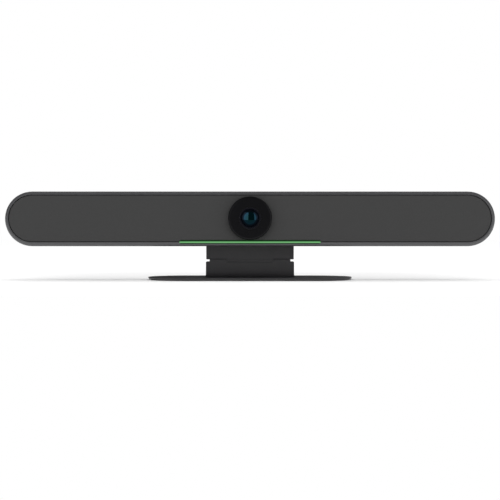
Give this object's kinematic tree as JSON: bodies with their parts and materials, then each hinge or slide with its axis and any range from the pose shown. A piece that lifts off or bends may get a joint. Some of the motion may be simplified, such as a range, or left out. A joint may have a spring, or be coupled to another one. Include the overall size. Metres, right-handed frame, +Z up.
{
  "type": "conference camera",
  "caption": "Wide video bar with half-round ends, cloth front, central lens and green status light on a tilting table stand.",
  "frame": {"origin": "on the table, under the middle of the foot", "axes": "+Z up, front towards -Y, +X to the right as seen from the front"},
  "size_m": [0.5998, 0.088, 0.109],
  "materials": {
    "housing_plastic": "fine-textured dark grey moulding",
    "frame_plastic": "smooth satin dark grey moulding",
    "carrier_plastic": "plain black moulding behind the cloth",
    "grille_cloth": "tight, even acoustic cloth in dark grey",
    "green_light": "frosted light guide, lit green",
    "circuit_board": "green solder mask",
    "led_package": "small pale emitters",
    "black_plastic": "smooth black moulding",
    "black_metal": "black anodised",
    "lens_glass": "coated optical glass with blue-green reflections",
    "steel": "plain steel",
    "black_steel": "blackened steel",
    "chip_plastic": "black package",
    "aluminium": "plain extruded",
    "socket_steel": "plated sheet steel",
    "socket_plastic": "black insulating plastic",
    "button_plastic": "satin dark grey",
    "brass": "plain turned",
    "stand_metal": "smooth satin dark grey powder coat on cast metal",
    "bush_plastic": "plain bearing plastic",
    "basket_plastic": "black moulding",
    "paper_cone": "pressed paper",
    "magnet_steel": "dark steel and ferrite",
    "rubber": "soft, matt"
  },
  "bodies": {
    "stand": {"lower_bracket": "stand_metal", "hinge_pin": "steel", "hinge_springs": "steel", "hinge_nut": "steel", "hinge_caps": "black_plastic", "foot_pad": "rubber"},
    "bar": {"rear_housing": "housing_plastic", "front_frame": "frame_plastic", "grille_carrier": "carrier_plastic", "grille_cloth": "grille_cloth", "status_light": "green_light", "status_light_board": "circuit_board", "status_leds": "led_package", "lens_shroud": "black_plastic", "lens_barrel": "black_metal", "lens_retaining_ring": "black_metal", "front_lens": "lens_glass", "middle_lens": "lens_glass", "iris_plate": "black_metal", "rear_lens": "lens_glass", "camera_mount": "black_plastic", "camera_mount_screws": "steel", "infrared_filter": "lens_glass", "image_sensor": "chip_plastic", "sensor_board": "circuit_board", "sensor_board_screws": "steel", "left_speaker_basket": "basket_plastic", "right_speaker_basket": "basket_plastic", "left_speaker_cone": "paper_cone", "right_speaker_cone": "paper_cone", "left_speaker_surround": "rubber", "right_speaker_surround": "rubber", "left_speaker_magnet": "magnet_steel", "right_speaker_magnet": "magnet_steel", "left_microphone_board": "circuit_board", "right_microphone_board": "circuit_board", "microphones": "socket_steel", "main_board": "circuit_board", "main_board_screws": "steel", "processor": "chip_plastic", "heat_sink": "aluminium", "power_socket": "socket_plastic", "data_socket": "socket_steel", "video_socket": "socket_steel", "network_socket": "socket_steel", "audio_socket": "socket_plastic", "power_switch": "socket_plastic", "housing_screws": "black_steel", "wall_mount_inserts": "brass", "stand_inserts": "brass", "upper_bracket": "stand_metal", "bracket_screws": "black_steel", "hinge_bushes": "bush_plastic"},
    "button": {"power_button": "button_plastic"}
  },
  "joints": [
    {"name": "tilt", "type": "hinge", "parent": "stand", "child": "bar", "pos_m": [0, 0.005, 0.024], "axis": [1, 0, 0], "range_deg": [-15, 15]},
    {"name": "power_press", "type": "slide", "parent": "bar", "child": "button", "axis": [0, -1, 0], "range_m": [0, 0.0008], "stiffness_N_per_m": 800, "springref_m": -0.001}
  ]
}
